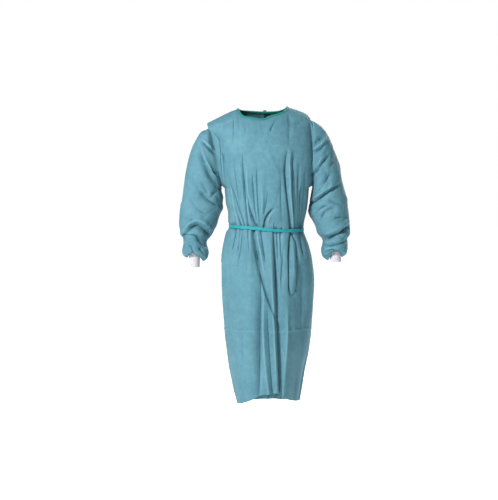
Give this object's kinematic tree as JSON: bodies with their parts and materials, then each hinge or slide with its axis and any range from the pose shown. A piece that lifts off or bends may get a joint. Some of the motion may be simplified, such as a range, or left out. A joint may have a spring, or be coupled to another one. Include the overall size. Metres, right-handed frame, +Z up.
{
  "type": "surgical gown",
  "caption": "Long-sleeved surgical gown held in its worn shape, with a bound neckline, knitted cuffs, a waist tape and a lapped back tied at neck and waist",
  "frame": {"origin": "between the two neck points, at the height where the shoulders carry the gown", "axes": "+Z up along the wearer's height, -Y is the gown's front, +X is the wearer's left"},
  "size_m": [0.659, 0.3449, 1.1453],
  "materials": {
    "gown_cloth": "matt nonwoven, teal blue",
    "neck_binding": "matt folded binding, green teal",
    "belt_tape": "flat tape, turquoise",
    "knit_cuff": "ribbed knit, white"
  },
  "bodies": {
    "root": {"body_front": "gown_cloth", "body_back_left": "gown_cloth", "body_back_right": "gown_cloth", "sleeve_left": "gown_cloth", "sleeve_right": "gown_cloth", "cuff_left": "knit_cuff", "cuff_right": "knit_cuff", "neck_binding": "neck_binding", "neck_knot": "neck_binding", "neck_tie_left": "neck_binding", "neck_tie_right": "neck_binding", "belt": "belt_tape", "belt_knot": "belt_tape", "belt_tie_left": "belt_tape", "belt_tie_right": "belt_tape"}
  },
  "joints": []
}
